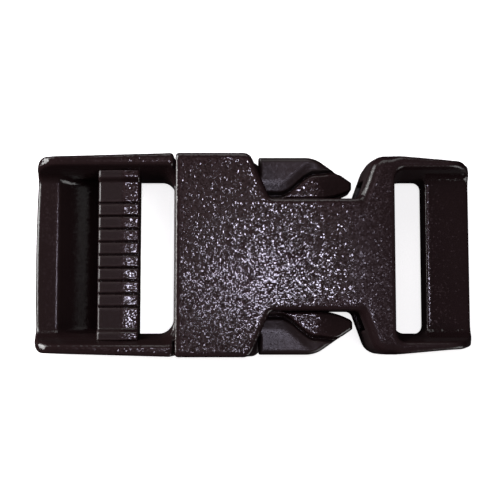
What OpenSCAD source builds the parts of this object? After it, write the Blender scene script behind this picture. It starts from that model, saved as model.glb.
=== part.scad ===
// Contoured side-release buckle: a socket with a fixed strap bar, and an insert with a webbing adjuster.
// +X runs from the insert to the socket's tail, +Y is the left side and +Z is up.
// The origin is under the middle of the closed buckle, on the face that it lies on.

/* [Webbing] */
// Width of the webbing that both ends take
webbing_w = 20; // [16:0.5:26]
// Gap between each edge of the webbing and the rail beside it
webbing_gap = 0.3; // [0.2:0.05:0.8]

/* [Overall] */
// Height of both mouldings
buckle_h = 8.6; // [7.5:0.1:11]
// Length of the socket from its mouth to the end of its tail
socket_l = 38.9; // [36:0.1:48]
// Length of the insert's frame that shows outside the socket
frame_l = 18.45; // [17:0.05:24]
// Gap between the insert's rails and the socket's mouth
mouth_gap = 0.25; // [0.2:0.05:0.8]

/* [Socket] */
// Thickness of the top and bottom plates
plate_t = 1.5; // [1.2:0.1:2]
// Thickness of the side walls
wall_t = 1.9; // [1.4:0.1:2.2]
// Width of each side of the body and of each rail, outside the webbing slot
rail_w = 3.1; // [2.6:0.1:4]
// Length of the side walls behind the mouth
wall_l = 10.55; // [9:0.05:12]
// How much further the bottom plate's hips reach, to close the latch gaps from below
hip_reach = 1; // [0:0.1:2]
// Half the width of the neck between the two release windows
neck_half = 7.35; // [6.5:0.05:8]
// Length of the solid block between the cavity and the strap slot
block_l = 2.65; // [2:0.05:5]
// Width along X of the fixed strap slot
strap_slot_w = 4.35; // [4.2:0.05:6]
// Width along X of the fixed strap bar
strap_bar_w = 5.8; // [4.5:0.1:7]
// Height of the underside of the strap bar
strap_bar_low = 1.4; // [0.8:0.1:2]
// Thickness of the strap bar
strap_bar_t = 4.4; // [3:0.1:5]
// How far the tail narrows on each side towards its end
tail_taper = 0.9; // [0:0.1:1.5]

/* [Insert] */
// Width along X of the adjuster slot
adjuster_slot_w = 4.5; // [4.2:0.1:6]
// Width along X of the toothed grip bar
grip_bar_w = 5.5; // [4.5:0.1:7]
// Height of the underside of the grip bar
grip_bar_low = 4.6; // [4:0.1:5.5]
// Thickness of the grip bar
grip_bar_t = 2.7; // [2:0.1:3.5]
// Number of tooth grooves across the grip bar
groove_n = 9; // [5:2:11]
// Depth of each tooth groove
groove_d = 0.5; // [0.3:0.05:0.8]
// Height of the flat top of the end bar
end_bar_h = 5.8; // [5:0.1:6.5]
// How far the insert's frame narrows on each side towards its end
frame_taper = 0.5; // [0:0.1:1.2]

/* [Latch] */
// Sliding gap above, below and beside whatever runs inside the socket
run_gap = 0.2; // [0.12:0.02:0.3]
// Radial gap between an arm's root knuckle and its seat
knuckle_gap = 0.05; // [0.03:0.01:0.1]
// Radius of an arm's root knuckle
knuckle_r = 1.1; // [1:0.05:1.3]
// Thickness of the flexing beam
beam_t = 1.7; // [1.4:0.1:2]
// How far each latch shoulder stands out past the inside of the side wall
catch_d = 1.6; // [1:0.05:1.8]
// Gap between a latch shoulder and the end of its side wall
catch_play = 0.4; // [0.2:0.05:0.6]
// Gap between an arm's tip and the end of the cavity
tip_gap = 2.8; // [1.5:0.1:4]
// Depth of the thumb pad below the face of the arm
pad_d = 0.8; // [0.4:0.1:1.2]
// Half the width of the guide tongue
tongue_half = 2.1; // [1.6:0.1:2.4]

/* [Hidden] */

black_acetal = [0.09, 0.085, 0.09];

// Places along X, from the tail end of the socket to the far end of the insert
overall_l = socket_l + mouth_gap + frame_l;
tail_x = overall_l / 2;
mouth_x = tail_x - socket_l;
frame_x = mouth_x - mouth_gap;
end_x = -overall_l / 2;
strap_bar_x = tail_x - strap_bar_w;
strap_slot_x = strap_bar_x - strap_slot_w;
cavity_x = strap_slot_x - block_l;
wall_x = mouth_x + wall_l;
shoulder_x = wall_x + catch_play;
tip_x = cavity_x - tip_gap;
grip_bar_x1 = frame_x - adjuster_slot_w;
grip_bar_x0 = grip_bar_x1 - grip_bar_w;

// Places along Y
slot_half = webbing_w / 2 + webbing_gap;
body_half = slot_half + rail_w;
cavity_half = body_half - wall_t;
tail_half = body_half - 0.35;
frame_half = body_half - 0.05;
base_half = cavity_half - run_gap;
shoulder_y = cavity_half + catch_d;
root_y = cavity_half - 2;
pocket_half = body_half - 3.5;
rib_y = tongue_half + run_gap;

// Places along Z
cavity_low = plate_t;
cavity_high = buckle_h - plate_t;
arm_low = cavity_low + run_gap;
arm_high = cavity_high - run_gap;

// How far the rails round down at their outer ends, and over what length
end_drop = 2.6;
end_drop_l = 3.4;

// Flare of the rails' inner faces above the bars
rail_lean = 1.3;
rail_lean_z = buckle_h - 2.8;

// Corners of the socket's outline
mouth_r = 0.5;
hip_r = 1.3;
waist_r = 0.9;
waist_angle = 24;
hip_x = wall_x - 1.65;
flare_r = 2.3;
flare_angle = 20;
flare_x = cavity_x - 1.35;
flare_lean = 0.9;
tail_corner_r = 1.6;

// Latch root, inside the mouth
base_x = frame_x + 2.3;
knuckle_x = base_x - 0.4;
rib_t = 0.9;
rib_l = 13;
tongue_l = 14.2;

// Large arc of the insert's bowed end: its rise at the middle, and the radius that gives it
bow_d = 0.35;
bow_r = (frame_half * frame_half + bow_d * bow_d) / (2 * bow_d);
frame_corner_r = 1.3;

// Points of an arc about centre c, from angle a0 to angle a1
function arc(c, r, a0, a1, n = 10) =
    [for (i = [0:n]) let (a = a0 + (a1 - a0) * i / n) c + r * [cos(a), sin(a)]];

// The same points on the -Y side, in the order that closes the outline
function other_side(points) = [for (i = [len(points) - 1:-1:0]) [points[i][0], -points[i][1]]];

module both_sides(points) {
    polygon(concat(points, other_side(points)));
}

module block(x, y, z) {
    translate([x[0], y[0], z[0]])
        cube([x[1] - x[0], y[1] - y[0], z[1] - z[0]]);
}

// Shows its children as they are on the left, or mirrored on the right
module side(left) {
    if (left) children();
    else mirror([0, 1, 0]) children();
}

// A profile drawn in Y and Z, run along X
module along_x(x0, x1) {
    translate([x0, 0, 0])
        rotate([90, 0, 90])
            linear_extrude(x1 - x0)
                children();
}

// A profile drawn in X and Z, run across Y on both sides of the middle
module across_y(half) {
    translate([0, half, 0])
        rotate([90, 0, 0])
            linear_extrude(2 * half)
                children();
}

// ---- Socket ----

// Centre of an arc of radius r that touches the sloping edge at the waist and the line Y = y
function waist_centre(r, y, side, hip) = let (n = [cos(waist_angle), sin(waist_angle)],
    reach = n * [hip, body_half - hip_r] + hip_r)
    [(reach + side * r - n[1] * y) / n[0], y];

// Centre of an arc of radius r inside (-1) or outside (1) the sloping front of the tail, at height y
function flare_centre(r, y, side, front) = let (n = [-cos(flare_angle), sin(flare_angle)],
    reach = n * [front, tail_half - flare_r])
    [(reach + side * r - n[1] * y) / n[0], y];

// Outline of the whole socket on its +Y side, for a hip and a flare that start at those places along X
function socket_edge(hip, front) = concat(
    arc([mouth_x + mouth_r, body_half - mouth_r], mouth_r, 180, 90, 6),
    arc([hip, body_half - hip_r], hip_r, 90, waist_angle, 8),
    arc(waist_centre(waist_r, neck_half + waist_r, 1, hip), waist_r, 180 + waist_angle, 270, 8),
    arc(flare_centre(waist_r, neck_half + waist_r, 1, front), waist_r, 270, 360 - flare_angle, 8),
    arc(flare_centre(flare_r, tail_half - flare_r, -1, front), flare_r, 180 - flare_angle, 90, 8),
    arc([tail_x - tail_corner_r, tail_half - tail_taper - tail_corner_r], tail_corner_r, 84, 0, 8));

// The slice of the socket's outline between two places along X and two along Z
module socket_slice(x, z, hip = hip_x, front = flare_x) {
    intersection() {
        translate([0, 0, z[0]])
            linear_extrude(z[1] - z[0])
                both_sides(socket_edge(hip, front));
        block(x, [-2 * body_half, 2 * body_half], [z[0] - 1, z[1] + 1]);
    }
}

module socket_top_plate() {
    color(black_acetal)
        socket_slice([mouth_x - 1, cavity_x], [cavity_high, buckle_h], hip_x, flare_x + flare_lean);
}

module socket_bottom_plate() {
    color(black_acetal)
        socket_slice([mouth_x - 1, cavity_x], [0, cavity_low], hip_x + hip_reach);
}

module socket_side_wall(left) {
    color(black_acetal)
        side(left)
            intersection() {
                socket_slice([mouth_x - 1, wall_x], [cavity_low, cavity_high]);
                block([mouth_x - 1, wall_x], [cavity_half, 2 * body_half], [0, buckle_h]);
            }
}

module socket_side_wall_left() {
    socket_side_wall(true);
}

module socket_side_wall_right() {
    socket_side_wall(false);
}

module guide_rib(left) {
    color(black_acetal)
        side(left)
            block([wall_x - 4.5, wall_x - 4.5 + rib_l], [rib_y, rib_y + rib_t], [cavity_low, cavity_high]);
}

module guide_rib_left() {
    guide_rib(true);
}

module guide_rib_right() {
    guide_rib(false);
}

// Solid block behind the cavity, with a horn on each side that closes the front of the tail
module tail_block() {
    color(black_acetal) {
        socket_slice([cavity_x, strap_slot_x], [0, buckle_h]);
        for (left = [true, false])
            side(left)
                intersection() {
                    socket_slice([cavity_x - 4, cavity_x], [cavity_low, cavity_high]);
                    block([cavity_x - 4, cavity_x], [pocket_half, 2 * body_half], [0, buckle_h]);
                }
    }
}

// Section of a rail: upright beside the bars, then leaning back above them
module rail_section() {
    polygon([[slot_half, 0], [2 * body_half, 0], [2 * body_half, buckle_h],
        [slot_half + rail_lean, buckle_h], [slot_half, rail_lean_z]]);
}

// Side view of a rail from x0 to its outer end at x1: its top rounds down there as a quarter of an ellipse
module rail_side(x0, x1) {
    out = sign(x1 - x0);
    polygon(concat(
        [[x1, 0], [x0, 0], [x0, buckle_h]],
        [for (a = [90:-10:0]) [x1 - out * end_drop_l * (1 - cos(a)), buckle_h - end_drop * (1 - sin(a))]]));
}

module tail_rail(left) {
    color(black_acetal)
        side(left)
            intersection() {
                socket_slice([strap_slot_x, tail_x + 1], [0, buckle_h]);
                along_x(strap_slot_x, tail_x + 1)
                    rail_section();
                across_y(2 * body_half)
                    rail_side(strap_slot_x, tail_x);
            }
}

module tail_rail_left() {
    tail_rail(true);
}

module tail_rail_right() {
    tail_rail(false);
}

// Strap bar, set below the rails, with its two upper edges rounded for the webbing
module strap_bar() {
    high = strap_bar_low + strap_bar_t;
    r = 1;
    color(black_acetal)
        across_y(slot_half)
            polygon(concat(
                [[tail_x, strap_bar_low], [strap_bar_x, strap_bar_low]],
                arc([strap_bar_x + r, high - r], r, 180, 90, 6),
                arc([tail_x - r, high - r], r, 90, 0, 6)));
}

// ---- Insert ----

// Outline of the insert's frame: straight tapering sides, round corners and a bowed end
module frame_outline() {
    r = frame_corner_r;
    intersection() {
        both_sides(concat(
            arc([frame_x - 0.4, frame_half - 0.4], 0.4, 0, 90, 6),
            arc([end_x + bow_d + r, frame_half - frame_taper - r], r, 92, 180, 8),
            [[end_x, frame_half - frame_taper - r - 1]]));
        translate([end_x + bow_r, 0])
            circle(r = bow_r, $fn = 360);
    }
}

module frame_slice(x, z) {
    intersection() {
        translate([0, 0, z[0]])
            linear_extrude(z[1] - z[0])
                frame_outline();
        block(x, [-2 * body_half, 2 * body_half], [z[0] - 1, z[1] + 1]);
    }
}

module insert_rail(left) {
    color(black_acetal)
        side(left)
            intersection() {
                frame_slice([end_x - 1, frame_x], [0, buckle_h]);
                along_x(end_x - 1, frame_x)
                    rail_section();
                across_y(2 * body_half)
                    rail_side(frame_x, end_x);
            }
}

module insert_rail_left() {
    insert_rail(true);
}

module insert_rail_right() {
    insert_rail(false);
}

// End bar: a flat top, then a ramp that leads the webbing down under the grip bar
module end_bar() {
    ramp_top_x = end_x + 3.4;
    ramp_low_x = grip_bar_x1 - 2.3;
    color(black_acetal)
        intersection() {
            frame_slice([end_x - 1, ramp_low_x], [0, end_bar_h]);
            across_y(slot_half)
                polygon([[end_x - 1, 0], [end_x - 1, end_bar_h], [ramp_top_x, end_bar_h],
                    [ramp_low_x, 0.4], [ramp_low_x, 0]]);
        }
}

// Grip bar with a row of tooth grooves along X, evenly spaced about the middle
module grip_bar() {
    high = grip_bar_low + grip_bar_t;
    r = 0.9;
    groove_pitch = 1.5 * webbing_w / 2 / groove_n;
    color(black_acetal)
        difference() {
            across_y(slot_half)
                polygon(concat(
                    [[grip_bar_x0, grip_bar_low]],
                    arc([grip_bar_x0 + r, high - r], r, 180, 90, 6),
                    arc([grip_bar_x1 - r, high - r], r, 90, 0, 6),
                    [[grip_bar_x1, grip_bar_low]]));
            for (i = [0:groove_n - 1])
                translate([grip_bar_x0 + 1, (i - (groove_n - 1) / 2) * groove_pitch, high])
                    rotate([0, 90, 0])
                        cylinder(r = groove_d, h = grip_bar_w, $fn = 24);
        }
}

// Cross-member just inside the mouth, with a round seat for each arm's root knuckle
module insert_base() {
    r = 1.3;
    color(black_acetal)
        difference() {
            union() {
                block([frame_x, base_x], [-base_half, base_half], [arm_low, arm_high]);
                for (left = [true, false])
                    side(left)
                        difference() {
                            block([frame_x - r, frame_x], [slot_half - r, slot_half], [arm_low, arm_high]);
                            translate([frame_x - r, slot_half - r, 0])
                                cylinder(r = r, h = buckle_h, $fn = 48);
                        }
            }
            for (left = [true, false])
                side(left)
                    translate([knuckle_x, root_y, 0])
                        cylinder(r = knuckle_r + knuckle_gap, h = buckle_h, $fn = 48);
        }
}

// Tongue that runs between the socket's guide ribs, with a narrowed lead-in
module guide_tongue() {
    lead = 1.2;
    color(black_acetal)
        translate([0, 0, arm_low])
            linear_extrude(arm_high - arm_low)
                both_sides([[base_x, tongue_half], [base_x + tongue_l - lead, tongue_half],
                    [base_x + tongue_l, tongue_half - lead * 0.6]]);
}

// ---- Latch arms ----

// Plan outline of a flexing beam, from its root knuckle to the fin
beam_out = root_y + beam_t / 2;
beam_in = root_y - beam_t / 2;
beam_x = shoulder_x - 2.5;

module latch_beam(left) {
    color(black_acetal)
        side(left) {
            block([knuckle_x, beam_x], [beam_in, beam_out], [arm_low, arm_high]);
            translate([knuckle_x, root_y, arm_low])
                cylinder(r = knuckle_r, h = arm_high - arm_low, $fn = 48);
        }
}

module latch_beam_left() {
    latch_beam(true);
}

module latch_beam_right() {
    latch_beam(false);
}

tip_r = 0.85;
tip_angle = 56;
nose_r = 4;
nose_l = 6.2;
pad_low = arm_low + pad_d;
pad_high = arm_high - pad_d;

// Plan outline of one fin: neck of the beam, latch shoulder, thumb side, sloping nose and round tip
function fin_edge() = let (
    nose_c = [tip_x - nose_l, shoulder_y - nose_r],
    n = [cos(tip_angle), sin(tip_angle)],
    tip_c_x = tip_x - tip_r,
    tip_c = [tip_c_x, (n * nose_c + nose_r - tip_r - n[0] * tip_c_x) / n[1]])
    concat(
        [[beam_x, beam_out]],
        arc([shoulder_x - 0.5, beam_out + 0.8], 0.5, 270, 360, 6),
        arc([shoulder_x + 0.4, shoulder_y - 0.4], 0.4, 180, 90, 6),
        arc(nose_c, nose_r, 90, tip_angle, 8),
        arc(tip_c, tip_r, tip_angle, -72, 10),
        [[tip_x - 2.9, neck_half + 0.25], [shoulder_x + 2, neck_half], [beam_x, beam_in]]);

// Plan outline of the thumb pad: everything outside an S-shaped step along the fin
function pad_edge() = let (x = shoulder_x, y = neck_half) [
    [x - 0.6, y + 1.4], [x + 3.8, y + 0.6], [x + 5.2, y + 1.3], [x + 6.2, y + 2], [x + 7.4, y + 2.6],
    [x + 8.6, y + 2.8], [tip_x, y + 2.7], [tip_x, 2 * body_half], [x - 0.6, 2 * body_half]];

module thumb_fin(left) {
    color(black_acetal)
        side(left)
            difference() {
                translate([0, 0, arm_low])
                    linear_extrude(arm_high - arm_low)
                        polygon(fin_edge());
                for (z = [[pad_high, buckle_h], [0, pad_low]])
                    translate([0, 0, z[0]])
                        linear_extrude(z[1] - z[0])
                            polygon(pad_edge());
            }
}

module thumb_fin_left() {
    thumb_fin(true);
}

module thumb_fin_right() {
    thumb_fin(false);
}

socket_top_plate();
socket_bottom_plate();
socket_side_wall_left();
socket_side_wall_right();
guide_rib_left();
guide_rib_right();
tail_block();
tail_rail_left();
tail_rail_right();
strap_bar();
insert_base();
insert_rail_left();
insert_rail_right();
grip_bar();
end_bar();
guide_tongue();
latch_beam_left();
latch_beam_right();
thumb_fin_left();
thumb_fin_right();
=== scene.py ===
"""Looks of a closed side-release buckle for 20 mm webbing: two mouldings in black grained acetal.

Each moulding is one seamless piece of plastic whose members run into each other with soft fillets, so its
skin is the zero surface of a distance function: every member is a short function of x, y and z in
millimetres, and the members are joined and cut with rounded edges.
"""
import math

import bpy
import numpy as np
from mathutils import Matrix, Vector


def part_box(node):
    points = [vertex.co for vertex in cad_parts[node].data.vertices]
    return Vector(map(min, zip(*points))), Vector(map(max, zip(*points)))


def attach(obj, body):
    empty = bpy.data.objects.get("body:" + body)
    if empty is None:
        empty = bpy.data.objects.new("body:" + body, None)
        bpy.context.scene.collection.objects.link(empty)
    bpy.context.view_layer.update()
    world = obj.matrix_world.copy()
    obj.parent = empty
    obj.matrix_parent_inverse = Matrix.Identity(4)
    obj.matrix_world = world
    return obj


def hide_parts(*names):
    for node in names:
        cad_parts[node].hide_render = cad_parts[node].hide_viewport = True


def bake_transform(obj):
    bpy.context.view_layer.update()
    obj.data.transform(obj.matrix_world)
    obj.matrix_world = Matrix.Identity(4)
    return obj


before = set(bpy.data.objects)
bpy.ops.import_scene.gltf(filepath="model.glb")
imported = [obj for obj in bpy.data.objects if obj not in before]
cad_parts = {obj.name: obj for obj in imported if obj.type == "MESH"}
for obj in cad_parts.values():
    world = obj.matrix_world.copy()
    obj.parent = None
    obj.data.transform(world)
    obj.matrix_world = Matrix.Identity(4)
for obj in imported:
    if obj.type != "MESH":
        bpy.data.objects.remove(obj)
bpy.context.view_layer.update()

MM = 0.001
SIDES = {"left": 1, "right": -1}


# ---- Sizes, in millimetres, from the frame ----

def node_box(node):
    """Lowest and highest corners of a CAD node, in millimetres."""
    low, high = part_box(node)
    return np.array(low) / MM, np.array(high) / MM


plate_low, plate_high = node_box("socket_top_plate")
wall_low, wall_high = node_box("socket_side_wall_left")
rib_low, rib_high = node_box("guide_rib_left")
_, block_high = node_box("tail_block")
bar_low, bar_high = node_box("strap_bar")
rail_low, rail_high = node_box("insert_rail_left")
base_low, base_high = node_box("insert_base")
grip_low, grip_high = node_box("grip_bar")
end_low, end_high = node_box("end_bar")
tongue_low, tongue_high = node_box("guide_tongue")
beam_low, beam_high = node_box("latch_beam_left")
fin_low, fin_high = node_box("thumb_fin_left")

top_z = plate_high[2]
plate_t = top_z - plate_low[2]
cavity_end = plate_high[0]
slot_half = bar_high[1]
neck_half = 7.35
shoulder_x = wall_high[0] + 0.35

# Rounding of the mouldings' edges
TOP_R = 0.55
FOOT_R = 0.4
EDGE_R = 0.3

# How far a member reaches into its neighbour, so that the two join
OVERLAP = 1.5


# ---- Distance functions: negative inside, positive outside ----

def rounded_trim(a, b, r, angle=90):
    """What two shapes share, with the edge between them rounded to radius r.

    The angle is the one between the two faces' outward normals, in degrees. Between them the distance is
    measured from the rounding's centre, which lies r inside both faces.
    """
    c = math.cos(math.radians(angle))
    s = math.sin(math.radians(angle))
    u = a + r
    v = b + r
    arc = np.sqrt(np.maximum(u * u + v * v - 2 * c * u * v, 0)) / s - r
    return np.where((u > c * v) & (v > c * u), arc, np.maximum(a, b))


def rounded_join(a, b, r, angle=90):
    """Union of two shapes, with a fillet of radius r in the corner between them."""
    return -rounded_trim(-a, -b, r, angle)


def cut(a, b, r):
    """Shape a with shape b taken out of it, the new edges rounded to radius r."""
    return rounded_trim(a, -b, r)


def between(value, low, high):
    """Distance to a slab from low to high."""
    return np.abs(value - (low + high) / 2) - (high - low) / 2


def ramp(value, start, end):
    """0 at start, 1 at end, with a smooth turn at both."""
    t = np.clip((value - start) / (end - start), 0, 1)
    return t * t * (3 - 2 * t)


def slab(plan, z, top_r=TOP_R):
    """An outline given the full height of the buckle, with rounded upper and lower edges."""
    return rounded_trim(rounded_trim(plan, z - top_z, top_r), -z, FOOT_R)


END_LENGTH = 3.4
END_DROP = 2.6


def rounded_end(x, z, end_x, out):
    """Side view of a rail's end: the top rounds down as a quarter of an ellipse."""
    u = np.maximum(out * (x - end_x) + END_LENGTH, 0) / END_LENGTH
    v = np.maximum(z - (top_z - END_DROP), 0) / END_DROP
    return (np.hypot(u, v) - 1) * END_DROP


# The rails' inner faces are upright between these two heights, and lean back above and below them.
# LEAN_SCALE keeps the distance about true where they lean.
UPRIGHT_LOW = 2.0
UPRIGHT_HIGH = 5.2
LEAN_POWER = 1.3
LEAN_SCALE = 0.9


def rail_face(w, z, lean, foot):
    """The rails' inner faces: upright beside the bars, leaning back by lean at the top and foot below."""
    high = np.maximum(z - UPRIGHT_HIGH, 0) / (top_z - UPRIGHT_HIGH)
    low = np.maximum(UPRIGHT_LOW - z, 0) / UPRIGHT_LOW
    return (w - slot_half - lean * high ** LEAN_POWER - foot * low ** 2) * LEAN_SCALE


# ---- Socket ----

# Slopes of the body's waist and of the tail's front, in degrees
WAIST_ANGLE = 24
FLARE_ANGLE = 20

# The hips round the body's corners, and their foot reaches further than their top
HIP_R = 1.3
HIP_SETBACK = 1.65
HIP_REACH = 1.0

# The tail's front leans, and its sides draw in towards the strap bar
FLARE_R = 2.3
FLARE_SETBACK = 1.35
FLARE_LEAN = 0.6
TAIL_TAPER = 0.9
TAIL_R = 1.6

NECK_FILLET = 0.9
MOUTH_R = 0.5


def sloping_face(x, w, x0, w0, angle, r):
    """Distance to the flat face, at angle to the X axis, that touches the circle of radius r about x0, w0."""
    return (x - x0) * math.cos(math.radians(angle)) + (w - w0) * math.sin(math.radians(angle)) - r


def socket_plan(x, y, z):
    """Outline of the socket seen from above: wide body, narrow neck and flared tail."""
    w = np.abs(y)
    hip_x = wall_high[0] - HIP_SETBACK + HIP_REACH * ramp(z, 4.0, 0.6)
    slope = sloping_face(x, w, hip_x, plate_high[1] - HIP_R, WAIST_ANGLE, HIP_R)
    body = rounded_trim(w - plate_high[1], slope, HIP_R, 90 - WAIST_ANGLE)
    body = rounded_trim(body, plate_low[0] - x, MOUTH_R)
    neck = np.maximum(w - neck_half, between(x, plate_low[0] + 5, cavity_end + 1))
    front_x = cavity_end - FLARE_SETBACK + FLARE_LEAN * ramp(z, 4.6, top_z + 0.6)
    front = -sloping_face(x, -w, front_x, FLARE_R - block_high[1], FLARE_ANGLE, 0)
    taper = TAIL_TAPER / (bar_high[0] - block_high[0])
    side = w - block_high[1] + taper * np.maximum(x - block_high[0], 0)
    tail = rounded_trim(side, front, FLARE_R, 90 - FLARE_ANGLE)
    tail = rounded_trim(tail, x - bar_high[0], TAIL_R)
    shape = rounded_join(body, neck, NECK_FILLET, 90 - WAIST_ANGLE)
    return rounded_join(shape, tail, NECK_FILLET, 90 - FLARE_ANGLE)


WINDOW_STOP = 5
POCKET_WALL = 3.5


def socket_cavity(x, y, z):
    """The hollow between the two plates, open at the mouth and at both release windows."""
    w = np.abs(y)
    channel = np.maximum(w - wall_low[1], x - wall_high[0] - 1)
    window = np.maximum(wall_high[0] - x, x - (cavity_end - WINDOW_STOP))
    pocket = w - (plate_high[1] - POCKET_WALL)
    plan = np.maximum(np.minimum(np.minimum(channel, window), pocket), x - cavity_end)
    return rounded_trim(plan, between(z, plate_t, top_z - plate_t), EDGE_R)


SLOT_R = 1.4
STRAP_BAR_FILLET = 1.0
FLARE_EXTRA_R = 0.85


def socket(x, y, z):
    """The socket moulding, whose upper edge is rounded more along the tail's front."""
    w = np.abs(y)
    at_flare = ramp(x, cavity_end - 2.5, cavity_end - 1.2)
    top_r = TOP_R + FLARE_EXTRA_R * at_flare * ramp(x, cavity_end + 4, cavity_end + 2)
    shape = cut(slab(socket_plan(x, y, z), z, top_r), socket_cavity(x, y, z), 0.25)
    rib = np.maximum(between(w, rib_low[1], rib_high[1]), between(x, rib_low[0], rib_high[0]))
    rib = np.maximum(rib, between(z, 0.5, top_z - 0.5))
    shape = rounded_join(shape, rib, EDGE_R)
    slot = rounded_trim(rail_face(w, z, 1.3, 0.5), block_high[0] - x, SLOT_R)
    shape = cut(shape, slot, EDGE_R)
    shape = rounded_trim(shape, rounded_end(x, z, bar_high[0], 1), EDGE_R)
    bar = rounded_trim(between(x, bar_low[0], bar_high[0]), between(z, bar_low[2], bar_high[2]), EDGE_R)
    bar = np.maximum(bar, w - slot_half - OVERLAP)
    shape = rounded_join(shape, bar, STRAP_BAR_FILLET)
    return np.maximum(shape, np.maximum(x - bar_high[0], between(z, 0, top_z)))


# ---- Insert ----

RAIL_TAPER = 0.5
RAIL_R = 0.4
CORNER_R = 1.3
END_BOW = 0.35


def insert_plan(x, y):
    """Outline of the insert's frame: tapering sides, round corners and a bowed end."""
    w = np.abs(y)
    taper = RAIL_TAPER / (rail_high[0] - rail_low[0])
    side = w - rail_high[1] + taper * (rail_high[0] - x)
    bow_r = (rail_high[1] ** 2 + END_BOW ** 2) / (2 * END_BOW)
    far_end = np.hypot(x - (end_low[0] + bow_r), y) - bow_r
    plan = rounded_trim(side, far_end, CORNER_R)
    return rounded_trim(plan, x - rail_high[0], RAIL_R)


END_TOP_WIDTH = 3.0
RAMP_FOOT = 0.4


def end_bar(x, y, z):
    """The bar at the far end: a flat top, then a ramp that leads the webbing down under the grip bar."""
    ramp_x = end_low[0] + END_TOP_WIDTH
    slope = (end_high[2] - RAMP_FOOT) / (end_high[0] - ramp_x)
    ramp_face = ((z - end_high[2]) + slope * (x - ramp_x)) / math.hypot(1, slope)
    bar = rounded_trim(ramp_face, z - end_high[2], EDGE_R, math.degrees(math.atan(slope)))
    bar = rounded_trim(bar, insert_plan(x, y), 0.5)
    bar = rounded_trim(bar, np.maximum(-z, x - end_high[0]), FOOT_R)
    return np.maximum(bar, np.abs(y) - slot_half - OVERLAP)


END_BAR_FILLET = 0.8
BASE_FILLET = 2.0
TONGUE_R = 0.9


def insert(x, y, z):
    """The insert's frame: rails, end bar, cross-member and guide tongue."""
    w = np.abs(y)
    rails = cut(slab(insert_plan(x, y), z, RAIL_R), rail_face(w, z, 1.6, 0.7), EDGE_R)
    rails = rounded_trim(rails, rounded_end(x, z, end_low[0], -1), EDGE_R)
    shape = rounded_join(rails, end_bar(x, y, z), END_BAR_FILLET)
    shape = np.maximum(shape, np.maximum(insert_plan(x, y), -z))
    base = np.maximum(between(x, base_high[0] - 2.3, base_high[0]), w - base_high[1])
    base = rounded_trim(base, between(z, base_low[2], base_high[2]), EDGE_R)
    shape = rounded_join(shape, base, BASE_FILLET)
    shape = np.maximum(shape, -np.maximum(rail_high[0] - x, base_high[1] - w))
    tongue = rounded_trim(w - tongue_high[1], x - tongue_high[0], TONGUE_R)
    tongue = np.maximum(tongue, base_low[0] + 3 - x)
    tongue = rounded_trim(tongue, between(z, tongue_low[2], tongue_high[2]), 0.4)
    return rounded_join(shape, tongue, 0.4)


# V-shaped tooth grooves, with the two parts of the normal of a groove's side
GROOVE_PITCH = 1.71
GROOVES_EACH_WAY = 4
GROOVE_DEPTH = 0.45
GROOVE_ACROSS = 0.93
GROOVE_UP = 0.36
GROOVE_EDGE_R = 0.06

# The grip bar's top is a blunt ridge, and each end of it is a raised shoulder
RIDGE_SETBACK = 2.1
RIDGE_R = 0.3
RIDGE_TILT = 0.017
RIDGE_FALL = 0.087
SHOULDER_RISE = 0.45


def grip_bar(x, y, z):
    """The toothed bar that the webbing folds over, with a raised shoulder at each end."""
    w = np.abs(y)
    grip_top = grip_high[2] + SHOULDER_RISE * ramp(w, slot_half - 0.75, slot_half + 0.05)
    past_ridge = x - (grip_high[0] - RIDGE_SETBACK)
    roll = RIDGE_TILT * past_ridge + RIDGE_FALL * np.hypot(past_ridge, RIDGE_R)
    top = z - grip_top + roll
    shape = rounded_trim(top, grip_low[0] - x, 0.4)
    shape = rounded_trim(shape, x - grip_high[0], 0.25)
    shape = rounded_trim(shape, grip_low[2] - z, 0.5)
    shape = np.maximum(shape, w - slot_half - 0.9)
    near = np.clip(np.round(y / GROOVE_PITCH), -GROOVES_EACH_WAY, GROOVES_EACH_WAY) * GROOVE_PITCH
    off = y - near
    deep = z - (grip_top - roll - GROOVE_DEPTH)
    groove = np.abs(off) * GROOVE_ACROSS - deep * GROOVE_UP
    return cut(shape, groove, GROOVE_EDGE_R)


# ---- Latch arms ----

# The fin's inner edge curves out over its last stretch
CURVE_START = 4.7
CURVE_SPAN = 3.7
CURVE_OUT = 0.79


def fin_inner(x):
    """Inner edge of a fin: beside the neck, then curving out towards the tip."""
    start = fin_high[0] - CURVE_START
    return neck_half + CURVE_OUT * (np.maximum(x - start, 0) / CURVE_SPAN) ** 2


# The step begins beside the neck, swings out and then drifts a little further
STEP_START = 0.3
STEP_SWING = 2.9
STEP_DRIFT = 0.25


def pad_step(x):
    """Where the thumb pad's S-shaped step runs along the fin."""
    along = x - shoulder_x
    return neck_half + STEP_START + STEP_SWING * ramp(along, 2.8, 7.6) + STEP_DRIFT * ramp(along, 7.6, 10.2)


# The beam is thinner than its CAD box, whose width is that of the knuckle at its root
KNUCKLE_EXTRA = 0.25

NOSE_ANGLE = 56
NOSE_LENGTH = 6.2
NOSE_R = 4
NOSE_THINNING = 0.6

# The thumb pads lie below the nose's faces, a little deeper beside their step
PAD_DEPTH = 0.4
PAD_SCOOP = 0.2
PAD_EDGE_R = 0.6
STEP_SCALE = 0.8
STEP_R = 0.15

# A V groove runs along the foot of the step, with the two parts of the normal of its side
STEP_GROOVE_ACROSS = 0.89
STEP_GROOVE_UP = 0.42


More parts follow.
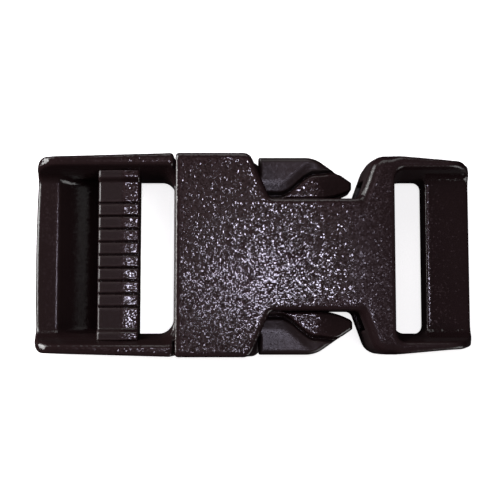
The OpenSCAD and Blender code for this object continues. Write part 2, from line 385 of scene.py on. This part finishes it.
def latch_arm(x, y, z):
    """The left arm: a flexing beam, then a fin with a latch shoulder, scooped pads and a sloping nose."""
    beam_out = beam_high[1] - KNUCKLE_EXTRA
    beam_in = beam_low[1] + KNUCKLE_EXTRA
    inner_face = fin_inner(x) - y
    beam = np.maximum(between(y, beam_in, beam_out), between(x, base_high[0] - 1.2, shoulder_x + 4))
    slope = sloping_face(x, y, fin_high[0] - NOSE_LENGTH, fin_high[1] - NOSE_R, NOSE_ANGLE, NOSE_R)
    fin = rounded_trim(y - fin_high[1], slope, NOSE_R, 90 - NOSE_ANGLE)
    fin = rounded_trim(fin, shoulder_x - x, 0.25)
    fin = rounded_trim(fin, inner_face, 0.8, 130)
    fin = np.maximum(fin, x - fin_high[0])
    web = np.maximum(between(x, beam_high[0], shoulder_x + 3), np.maximum(inner_face, y - beam_out))
    plan = rounded_join(np.minimum(beam, web), fin, 0.5)
    mid = (fin_low[2] + fin_high[2]) / 2
    half = (fin_high[2] - fin_low[2]) / 2 - NOSE_THINNING * ramp(x, fin_high[0] - 5, fin_high[0] + 1)
    face = np.abs(z - mid) - half
    out = (y - pad_step(x)) * STEP_SCALE
    depth = PAD_DEPTH + PAD_SCOOP * ramp(out, 2.0, 0.4)
    padded = rounded_trim(plan, face + depth, PAD_EDGE_R)
    nose = rounded_trim(rounded_trim(plan, face, 0.5), out, STEP_R)
    groove = np.maximum(np.abs(out - 0.3) * STEP_GROOVE_ACROSS - (1.3 + face) * STEP_GROOVE_UP, -out)
    return np.minimum(cut(padded, groove, 0.1), nose)


# ---- Skin ----

def skin(field, low, high, pitch):
    """Vertices and quads of the surface where field is zero, found on a grid over the box from low to high.

    Every grid cell that the surface passes through gets one vertex, at the mean of the points where the
    surface crosses the cell's edges. Every crossed edge gets one quad between its four cells. The vertices
    are then pulled onto the surface along the field's gradient.
    """
    axes = [np.arange(a - 1.5 * pitch, b + 2.5 * pitch, pitch) for a, b in zip(low, high)]
    x, y, z = np.ix_(*axes)
    value = np.broadcast_to(field(x, y, z), [len(a) for a in axes])
    inside = value < 0
    cells = tuple(n - 1 for n in value.shape)
    total = np.zeros(cells + (3,))
    count = np.zeros(cells, int)
    edges = []
    for axis in range(3):
        first = [slice(None)] * 3
        second = [slice(None)] * 3
        first[axis] = slice(0, -1)
        second[axis] = slice(1, None)
        v0 = value[tuple(first)]
        v1 = value[tuple(second)]
        i = np.argwhere(inside[tuple(first)] != inside[tuple(second)])
        at = tuple(i.T)
        point = i.astype(float)
        point[:, axis] += v0[at] / (v0[at] - v1[at])
        others = [k for k in range(3) if k != axis]
        around = []
        for du, dv in ((1, 1), (0, 1), (0, 0), (1, 0)):
            cell = i.copy()
            cell[:, others[0]] -= du
            cell[:, others[1]] -= dv
            np.add.at(total, tuple(cell.T), point)
            np.add.at(count, tuple(cell.T), 1)
            around.append(cell)
        flip = inside[tuple(first)][at] == (axis == 1)
        edges.append((around, flip))
    used = np.argwhere(count > 0)
    at = tuple(used.T)
    index = np.full(cells, -1)
    index[at] = np.arange(len(used))
    points = total[at] / count[at][:, None] * pitch + [a[0] for a in axes]
    quads = []
    for around, flip in edges:
        q = np.stack([index[tuple(c.T)] for c in around], axis=1)
        quads.append(np.where(flip[:, None], q[:, ::-1], q))
    start = points.copy()
    for _ in range(3):
        slope = gradient(field, points)
        size = np.maximum((slope ** 2).sum(1), 0.3)
        points -= slope * (field(*points.T) / size)[:, None]
        points = start + np.clip(points - start, -0.6 * pitch, 0.6 * pitch)
    return points, np.concatenate(quads)


def gradient(field, points, step=0.01):
    """Rate of change of field at each point, by central differences."""
    parts = []
    for axis in range(3):
        shift = np.zeros(3)
        shift[axis] = step
        parts.append(field(*(points + shift).T) - field(*(points - shift).T))
    return np.stack(parts, axis=1) / (2 * step)


def bend(field, points, reach=0.3):
    """How strongly the surface bends at each point: above 0 on outer edges, below 0 in inner corners.

    It is the mean of field at six points at distance reach, less field at the point, in units of reach.
    """
    total = np.zeros(len(points))
    for axis in range(3):
        shift = np.zeros(3)
        shift[axis] = reach
        total += field(*(points + shift).T) + field(*(points - shift).T)
    return total / 6 / reach - field(*points.T) / reach


# A bend of SHARP_BEND counts as a full outer edge, where EDGE_WEAR of the grain is lost
SHARP_BEND = 0.25
EDGE_WEAR = 0.4


def moulding(name, field, grained, low, high, pitch, material, replaced):
    """Makes the skin of field into a smooth-shaded object, which stands for the CAD nodes in replaced.

    The mesh carries two attributes: grain, how much of the mould's grain a point has, and edge, how much
    it lies on an outer edge.
    """
    points, quads = skin(field, low, high, pitch)
    normals = gradient(field, points)
    normals /= np.maximum(np.linalg.norm(normals, axis=1), 0.1)[:, None]
    edge = np.clip(bend(field, points) / SHARP_BEND, 0, 1)
    grain = grained(points, normals) * (1 - EDGE_WEAR * edge)
    mesh = bpy.data.meshes.new(name)
    mesh.vertices.add(len(points))
    mesh.vertices.foreach_set("co", (points * MM).ravel())
    mesh.loops.add(quads.size)
    mesh.loops.foreach_set("vertex_index", quads.ravel())
    mesh.polygons.add(len(quads))
    mesh.polygons.foreach_set("loop_start", np.arange(0, quads.size, 4))
    mesh.polygons.foreach_set("use_smooth", np.ones(len(quads), bool))
    mesh.update(calc_edges=True)
    mesh.validate()
    for label, values in (("grain", grain), ("edge", edge)):
        mesh.attributes.new(label, "FLOAT", "POINT").data.foreach_set("value", values)
    mesh.materials.append(material)
    obj = bpy.data.objects.new(name, mesh)
    bpy.context.scene.collection.objects.link(obj)
    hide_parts(*replaced)
    print(name, len(points), "vertices", 2 * len(quads), "triangles")
    return obj


# ---- Where the mould is grained ----

# Share of the full grain on each zone
TAIL_FADE = 0.45
STRAP_BAR_GRAIN = 0.6
END_BAR_GRAIN = 0.5
HOLLOW_GRAIN = 0.1
RAIL_INNER_GRAIN = 0.2
RAIL_OUTER_GRAIN = 0.75
GRIP_GRAIN = 0.35
GRIP_SIDE_GRAIN = 0.5
PAD_GRAIN = 0.33
NOSE_GRAIN = 0.57


def socket_grain(points, normals):
    """Grain on the socket's outside, finer towards its tail and on the strap bar, and faint in the hollow."""
    x, y, z = points.T
    outside = ramp(np.abs(z - top_z / 2), top_z / 2 - 1.2, top_z / 2 - 0.5)
    outside = outside * (1 - TAIL_FADE * ramp(x, cavity_end - 11, cavity_end - 2))
    bar = np.maximum(between(x, bar_low[0], bar_high[0]), np.abs(y) - slot_half - 0.5)
    return np.where(bar < 0, STRAP_BAR_GRAIN, np.maximum(outside, HOLLOW_GRAIN))


def insert_grain(points, normals):
    """Grain on the outside of the rails, less of it on the end bar and the inner faces."""
    x, y, _ = points.T
    flat = ramp(np.abs(normals[:, 2]), 0.3, 0.9)
    outside = ramp(np.abs(y), slot_half + 1.4, slot_half + 1.8)
    bar = np.maximum(np.abs(y) - slot_half - 0.5, x - end_high[0])
    rails = RAIL_INNER_GRAIN + RAIL_OUTER_GRAIN * np.maximum(flat, outside)
    return np.where(bar < 0, END_BAR_GRAIN, rails)


def grip_grain(points, normals):
    """Grain on the grip bar's leaning side; the rest of it is finer."""
    x = points[:, 0]
    return GRIP_GRAIN + GRIP_SIDE_GRAIN * ramp(x, grip_high[0] - 2.6, grip_high[0] - 1.6)


def fin_grain(points, normals):
    """Grain on the fins' noses; the pads and the beams are finer."""
    x, y, _ = points.T
    nose = ramp(pad_step(x) - np.abs(y), -0.3, 0.2) * ramp(x, shoulder_x + 2, shoulder_x + 4)
    return PAD_GRAIN + NOSE_GRAIN * nose


# ---- Material ----

def add_node(tree, kind, **settings):
    """Adds a shader node; settings named after its properties or its sockets are applied."""
    node = tree.nodes.new(kind)
    for name, value in settings.items():
        if hasattr(node, name):
            setattr(node, name, value)
        else:
            node.inputs[name.replace("_", " ")].default_value = value
    return node


def vector_math(tree, operation, first, second):
    """Adds a vector sum: first and second are outputs or fixed vectors."""
    node = add_node(tree, "ShaderNodeVectorMath", operation=operation)
    for socket, value in ((node.inputs[0], first), (node.inputs[1], second)):
        if isinstance(value, tuple):
            socket.default_value = value
        else:
            tree.links.new(value, socket)
    return node.outputs["Vector"]


# Density of the fine noise and of the facets, in cells per metre, and the noise's height in metres
GRAIN_SCALE = 2400.0
GRAIN_DEPTH = 0.000004
FACET_SCALE = 5600.0

# How far each facet swells like a dome, how far most of them lean, and how far the few steepest do
DOME_LEAN = 480.0
FACET_LEAN = 0.075
FAR_LEAN = 0.62

# The roughness falls from the smooth value to the grained one as the grain rises from 0 to FULL_GRAIN
SMOOTH_ROUGHNESS = 0.50
GRAIN_ROUGHNESS = 0.11
FULL_GRAIN = 0.6

# Painted highlight: outer edges mix in EDGE_SHARE of a colour EDGE_PALENESS times as light, standing in for
# the light their rounding catches
EDGE_PALENESS = 2.0
EDGE_SHARE = 0.5


def same(value):
    """A vector with the same value along all three axes."""
    return (value, value, value)


def black_acetal(name, dark, light):
    """Black acetal with the mould's fine grain, its sparkle and a painted highlight that makes the outer
    edges slightly paler.

    The grain is made of small facets on Object coordinates: each is a low dome that also leans its own way,
    so that each catches the light by itself. A very fine noise lies over them as height. Both fade, and the
    gloss gets softer, where the mesh's grain attribute is low.
    """
    material = bpy.data.materials.new(name)
    material.use_nodes = True
    tree = material.node_tree
    link = tree.links.new
    shader = tree.nodes["Principled BSDF"]
    place = add_node(tree, "ShaderNodeTexCoord").outputs["Object"]
    grain = add_node(tree, "ShaderNodeAttribute", attribute_name="grain").outputs["Fac"]
    edge = add_node(tree, "ShaderNodeAttribute", attribute_name="edge").outputs["Fac"]

    fine = add_node(tree, "ShaderNodeTexNoise", Scale=GRAIN_SCALE, Detail=2.0, Roughness=0.55, Distortion=0.6)
    cloud = add_node(tree, "ShaderNodeTexNoise", Scale=160.0, Detail=3.0, Roughness=0.6)
    for texture in (fine, cloud):
        link(place, texture.inputs["Vector"])

    facets = add_node(tree, "ShaderNodeTexVoronoi", Scale=FACET_SCALE)
    link(place, facets.inputs["Vector"])
    dome = vector_math(tree, "SUBTRACT", place, facets.outputs["Position"])
    swell = vector_math(tree, "MULTIPLY", facets.outputs["Color"], same(DOME_LEAN))
    dome = vector_math(tree, "MULTIPLY", dome, swell)
    lean = vector_math(tree, "SUBTRACT", facets.outputs["Color"], same(0.5))
    far_lean = vector_math(tree, "MULTIPLY", vector_math(tree, "MULTIPLY", lean, lean), lean)
    far_lean = vector_math(tree, "MULTIPLY", far_lean, same(FAR_LEAN))
    lean = vector_math(tree, "MULTIPLY", lean, same(FACET_LEAN))
    lean = vector_math(tree, "ADD", lean, far_lean)
    lean = vector_math(tree, "MULTIPLY", vector_math(tree, "ADD", lean, dome), grain)
    normal = vector_math(tree, "ADD", add_node(tree, "ShaderNodeNewGeometry").outputs["Normal"], lean)
    bump = add_node(tree, "ShaderNodeBump", Distance=GRAIN_DEPTH)
    link(fine.outputs["Fac"], bump.inputs["Height"])
    link(grain, bump.inputs["Strength"])
    link(normal, bump.inputs["Normal"])
    link(bump.outputs["Normal"], shader.inputs["Normal"])

    tone = add_node(tree, "ShaderNodeMix", data_type="RGBA")
    tone.inputs["A"].default_value = (*dark, 1)
    tone.inputs["B"].default_value = (*light, 1)
    link(cloud.outputs["Fac"], tone.inputs["Factor"])
    # Painted highlight: the base colour turns paler along the outer edges, where the rounding catches light
    edge_highlight = add_node(tree, "ShaderNodeMix", data_type="RGBA")
    edge_highlight.inputs["B"].default_value = (*[EDGE_PALENESS * c for c in light], 1)
    link(tone.outputs["Result"], edge_highlight.inputs["A"])
    edge_share = add_node(tree, "ShaderNodeMath", operation="MULTIPLY")
    link(edge, edge_share.inputs[0])
    edge_share.inputs[1].default_value = EDGE_SHARE
    link(edge_share.outputs[0], edge_highlight.inputs["Factor"])
    link(edge_highlight.outputs["Result"], shader.inputs["Base Color"])

    rough = add_node(tree, "ShaderNodeMapRange")
    rough.inputs["From Max"].default_value = FULL_GRAIN
    rough.inputs["To Min"].default_value = SMOOTH_ROUGHNESS
    rough.inputs["To Max"].default_value = GRAIN_ROUGHNESS
    link(grain, rough.inputs["Value"])
    link(rough.outputs["Result"], shader.inputs["Roughness"])
    shader.inputs["IOR"].default_value = 1.48
    return material


# ---- Studio ----

def camera():
    """Camera above the buckle, leaning a little towards its right side."""
    aim = Vector((-0.3 * MM, 0.5 * MM, 8.6 * MM))
    distance = 130 * MM
    elevation = math.radians(85)
    away = Vector((0, -math.cos(elevation), math.sin(elevation)))
    data = bpy.data.cameras.new("camera")
    data.sensor_width = 36
    data.lens = 72
    obj = bpy.data.objects.new("camera", data)
    bpy.context.scene.collection.objects.link(obj)
    obj.location = aim + distance * away
    obj.rotation_euler = (-away).to_track_quat("-Z", "Y").to_euler()
    bpy.context.scene.camera = obj


def softbox(name, place, size, power, tint=(1, 1, 1)):
    """Square soft light at place, in millimetres, aimed at the middle of the buckle."""
    data = bpy.data.lights.new(name, "AREA")
    data.size = size * MM
    data.energy = power
    data.color = tint
    obj = bpy.data.objects.new(name, data)
    bpy.context.scene.collection.objects.link(obj)
    obj.location = Vector(place) * MM
    obj.rotation_euler = (-obj.location).to_track_quat("-Z", "Y").to_euler()


def sky(tint, horizon, zenith):
    """Soft light from above, which fades towards the horizon."""
    world = bpy.data.worlds.new("sky")
    bpy.context.scene.world = world
    world.use_nodes = True
    tree = world.node_tree
    background = tree.nodes["Background"]
    direction = add_node(tree, "ShaderNodeTexCoord").outputs["Generated"]
    split = add_node(tree, "ShaderNodeSeparateXYZ")
    tree.links.new(direction, split.inputs["Vector"])
    height = add_node(tree, "ShaderNodeMapRange")
    height.inputs["From Min"].default_value = 0.3
    height.inputs["To Min"].default_value = horizon
    height.inputs["To Max"].default_value = zenith
    tree.links.new(split.outputs["Z"], height.inputs["Value"])
    tree.links.new(height.outputs["Result"], background.inputs["Strength"])
    background.inputs["Color"].default_value = (*tint, 1)


def floor():
    """White sheet under the buckle, a little self-lit so that it stays white, and hidden from reflections."""
    material = bpy.data.materials.new("white_sheet")
    material.use_nodes = True
    shader = material.node_tree.nodes["Principled BSDF"]
    shader.inputs["Base Color"].default_value = (0.85, 0.85, 0.85, 1)
    shader.inputs["Roughness"].default_value = 0.9
    shader.inputs["Emission Color"].default_value = (1, 1, 1, 1)
    shader.inputs["Emission Strength"].default_value = 0.8
    bpy.ops.mesh.primitive_plane_add(size=2, location=(0, 0, 0))
    sheet = bpy.context.object
    sheet.name = "floor"
    sheet.data.materials.append(material)
    sheet.visible_glossy = False
    sheet.visible_diffuse = False


# ---- Making ----

# No part of an arm lies nearer the middle than ARM_INNER
ARM_INNER = 7

socket_black = black_acetal("socket_acetal", (0.009, 0.0044, 0.0048), (0.014, 0.0075, 0.0082))
insert_black = black_acetal("insert_acetal", (0.009, 0.0044, 0.0046), (0.014, 0.0075, 0.0080))

socket_low = np.array([plate_low[0], -plate_high[1], 0])
socket_high = np.array([bar_high[0], plate_high[1], top_z])
obj = moulding("socket_moulding", socket, socket_grain, socket_low, socket_high, 0.25, socket_black,
               ["socket_top_plate", "socket_bottom_plate", "socket_side_wall_left", "socket_side_wall_right",
                "guide_rib_left", "guide_rib_right", "tail_block", "tail_rail_left", "tail_rail_right",
                "strap_bar"])
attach(obj, "socket")

insert_low = np.array([end_low[0], -rail_high[1], 0])
insert_high = np.array([tongue_high[0], rail_high[1], top_z])
obj = moulding("insert_frame", insert, insert_grain, insert_low, insert_high, 0.25, insert_black,
               ["insert_base", "insert_rail_left", "insert_rail_right", "end_bar", "guide_tongue"])
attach(obj, "insert")

obj = moulding("grip_bar_teeth", grip_bar, grip_grain, grip_low - 1.2, grip_high + 1.2, 0.12, insert_black,
               ["grip_bar"])
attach(obj, "insert")

for side, sign in SIDES.items():
    def one_arm(x, y, z, sign=sign):
        """The left arm, or its mirror image on the right."""
        return latch_arm(x, sign * y, z)

    low = np.array([base_high[0] - 2, min(sign * ARM_INNER, sign * fin_high[1]), fin_low[2]])
    high = np.array([fin_high[0], max(sign * ARM_INNER, sign * fin_high[1]), fin_high[2]])
    obj = moulding("latch_arm_" + side, one_arm, fin_grain, low, high, 0.15, insert_black,
                   ["latch_beam_" + side, "thumb_fin_" + side])
    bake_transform(obj)

camera()
sky((1.0, 0.70, 0.74), 0.01, 0.10)
softbox("key", (4, 8, 260), 15, 0.041, (0.98, 0.93, 1.18))
softbox("ceiling", (-6, 22, 261), 95, 0.0135, (1.0, 0.66, 0.74))
softbox("left", (-240, 60, 110), 150, 0.80)
softbox("right", (170, -180, 110), 150, 0.26)
softbox("far", (0, 200, 190), 120, 0.08)
softbox("far_left", (-190, 120, 120), 150, 0.28)
floor()
bpy.context.scene.view_settings.view_transform = "Standard"
